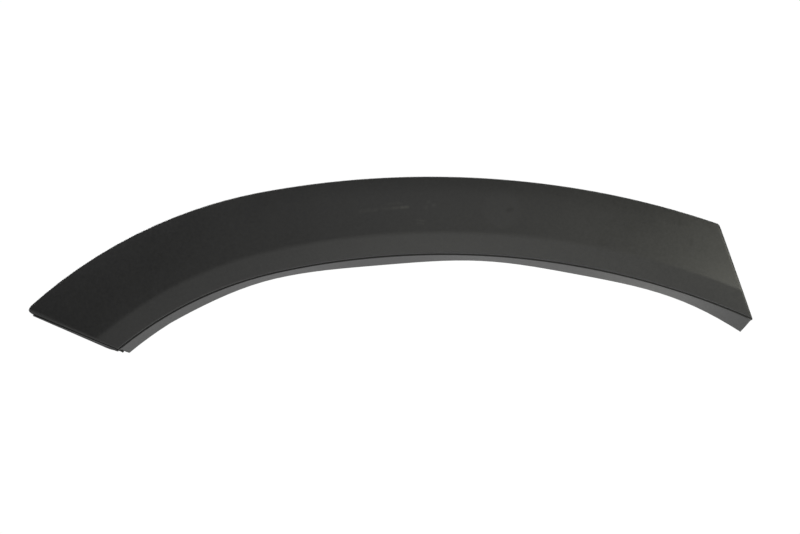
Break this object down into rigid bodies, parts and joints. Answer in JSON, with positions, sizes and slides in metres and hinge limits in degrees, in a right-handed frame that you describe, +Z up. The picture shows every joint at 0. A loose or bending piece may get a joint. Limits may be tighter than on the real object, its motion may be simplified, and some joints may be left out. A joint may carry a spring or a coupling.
{
  "type": "wheel arch trim",
  "caption": "Moulded black plastic trim for the top of a car's wheel arch: a broad creased face, a shadow line, an inward flange, and clip towers and pins behind.",
  "frame": {"origin": "on the axis of the main locating pin, where it meets the side of the car", "axes": "+X along the car, towards the high end of the trim; +Y in towards the car, along the main locating pin; +Z up"},
  "size_m": [0.5803, 0.0411, 0.1414],
  "materials": {
    "grained_plastic": "fine moulded-in grain, satin black, lightly scuffed"
  },
  "bodies": {
    "root": {"arch_trim": "grained_plastic"}
  },
  "joints": []
}
